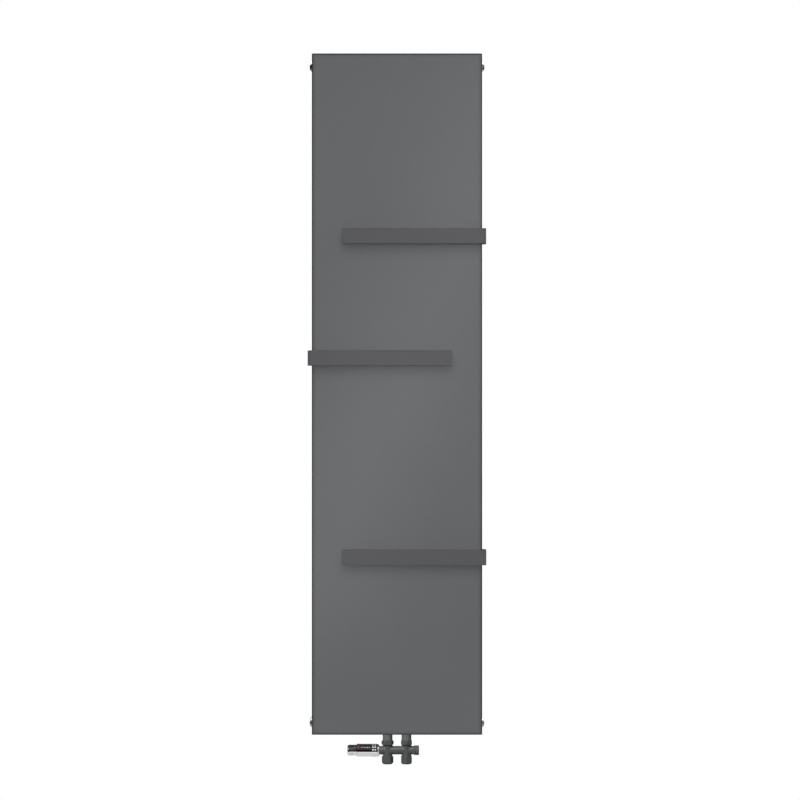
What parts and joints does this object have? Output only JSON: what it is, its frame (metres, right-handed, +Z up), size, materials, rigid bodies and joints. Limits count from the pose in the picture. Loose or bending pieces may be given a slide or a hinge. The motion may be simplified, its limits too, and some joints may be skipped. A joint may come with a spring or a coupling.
{
  "type": "vertical radiator with thermostatic valve",
  "caption": "Tall flat-front anthracite radiator with hooked towel rails, side plugs, wall brackets and a centre-connection valve block with a chrome thermostat head.",
  "frame": {"origin": "centre of the four wall screws, in the wall plane, level with the middle of the front panel", "axes": "+X right as seen from the room, +Y into the wall (the front faces -Y), +Z up"},
  "size_m": [0.47, 0.128, 1.8804],
  "materials": {
    "anthracite_powder_coat": "satin powder coat, very fine texture",
    "rail_powder_coat": "satin powder coat, very fine texture",
    "hidden_steel": "bare steel inside the header",
    "polished_chrome": "polished chrome plate",
    "satin_nickel": "satin nickel plate over brass",
    "nickel_brass": "nickel-tinted turned brass",
    "valve_coating": "anthracite coating over brass, satin",
    "zinc_steel": "zinc-plated steel",
    "spring_steel": "bright stainless steel",
    "black_rubber": "matte EPDM rubber",
    "seal_fibre": "matte sealing fibre",
    "white_plastic": "matte moulded plastic",
    "capsule_metal": "drawn thin metal",
    "red_enamel": "gloss red enamel",
    "blue_enamel": "gloss dark blue enamel"
  },
  "bodies": {
    "radiator": {"bleed_plug": "satin_nickel", "blind_plugs": "satin_nickel", "bottom_header": "anthracite_powder_coat", "clamp_rings": "nickel_brass", "cool_mark": "blue_enamel", "coupling_nut": "satin_nickel", "front_panel": "anthracite_powder_coat", "hanging_bolts": "zinc_steel", "hanging_lugs": "anthracite_powder_coat", "hanging_nuts": "zinc_steel", "head_base": "white_plastic", "head_sleeve": "polished_chrome", "header_baffle": "hidden_steel", "header_ends": "anthracite_powder_coat", "lower_cross_bar": "anthracite_powder_coat", "nipple_o_rings": "black_rubber", "plug_gaskets": "seal_fibre", "rail_plates": "anthracite_powder_coat", "rail_screws": "zinc_steel", "return_insert": "nickel_brass", "return_nipple": "nickel_brass", "return_pipe_nut": "valve_coating", "return_socket": "anthracite_powder_coat", "return_spring": "spring_steel", "return_union_nut": "valve_coating", "spindle_o_ring": "black_rubber", "spring_retainer": "nickel_brass", "supply_nipple": "nickel_brass", "supply_pipe_nut": "valve_coating", "supply_socket": "anthracite_powder_coat", "supply_union_nut": "valve_coating", "thermostatic_insert": "nickel_brass", "top_header": "anthracite_powder_coat", "towel_rail_bottom": "rail_powder_coat", "towel_rail_middle": "rail_powder_coat", "towel_rail_top": "rail_powder_coat", "union_gaskets": "seal_fibre", "upper_cross_bar": "anthracite_powder_coat", "valve_body": "valve_coating", "wall_brackets": "zinc_steel", "warm_mark": "red_enamel", "water_tube_1": "anthracite_powder_coat", "water_tube_2": "anthracite_powder_coat", "water_tube_3": "anthracite_powder_coat", "water_tube_4": "anthracite_powder_coat", "water_tube_5": "anthracite_powder_coat", "water_tube_6": "anthracite_powder_coat"},
    "setting_knob": {"knob": "polished_chrome", "knob_clip": "spring_steel"},
    "sensor": {"sensor_capsule": "capsule_metal", "overtravel_spring": "spring_steel", "sensor_carrier": "white_plastic"},
    "spindle": {"valve_spindle": "spring_steel", "valve_disc": "black_rubber"},
    "lockshield": {"lockshield_stem": "nickel_brass", "lockshield_o_ring": "black_rubber"},
    "cone": {"lockshield_cone": "nickel_brass"},
    "cap": {"return_cap": "valve_coating"},
    "bleed_key_screw": {"bleed_screw": "nickel_brass"},
    "bleed_outlet": {"bleed_nozzle": "white_plastic"}
  },
  "joints": [
    {"name": "thermostat_setting", "type": "hinge", "parent": "radiator", "child": "setting_knob", "pos_m": [-0.115, -0.055, -0.944], "axis": [-1, 0, 0], "range_deg": [-180, 120]},
    {"name": "sensor_travel", "type": "slide", "parent": "radiator", "child": "sensor", "axis": [-1, 0, 0], "range_m": [-0.00181, 0.00121]},
    {"name": "spindle_travel", "type": "slide", "parent": "radiator", "child": "spindle", "axis": [-1, 0, 0], "range_m": [-0.00181, 0.00121], "deforming": ["return_spring"]},
    {"name": "lockshield_turn", "type": "hinge", "parent": "radiator", "child": "lockshield", "pos_m": [0.046, -0.055, -0.944], "axis": [-1, 0, 0], "range_deg": [0, 1080]},
    {"name": "cone_travel", "type": "slide", "parent": "lockshield", "child": "cone", "axis": [-1, 0, 0], "range_m": [0, 0.003]},
    {"name": "cap_removal", "type": "slide", "parent": "radiator", "child": "cap", "axis": [1, 0, 0], "range_m": [0, 0.02]},
    {"name": "bleed_screw_turn", "type": "hinge", "parent": "radiator", "child": "bleed_key_screw", "pos_m": [0.228, -0.055, 0.869], "axis": [1, 0, 0], "range_deg": [0, 360]},
    {"name": "bleed_outlet_turn", "type": "hinge", "parent": "radiator", "child": "bleed_outlet", "pos_m": [0.228, -0.055, 0.869], "axis": [1, 0, 0], "continuous": true}
  ],
  "couplings": [
    {"joint": "sensor_travel", "follows": "thermostat_setting", "m_per_rad": 0.000573},
    {"joint": "spindle_travel", "follows": "thermostat_setting", "m_per_rad": 0.000573},
    {"joint": "cone_travel", "follows": "lockshield_turn", "m_per_rad": 0.000159}
  ]
}
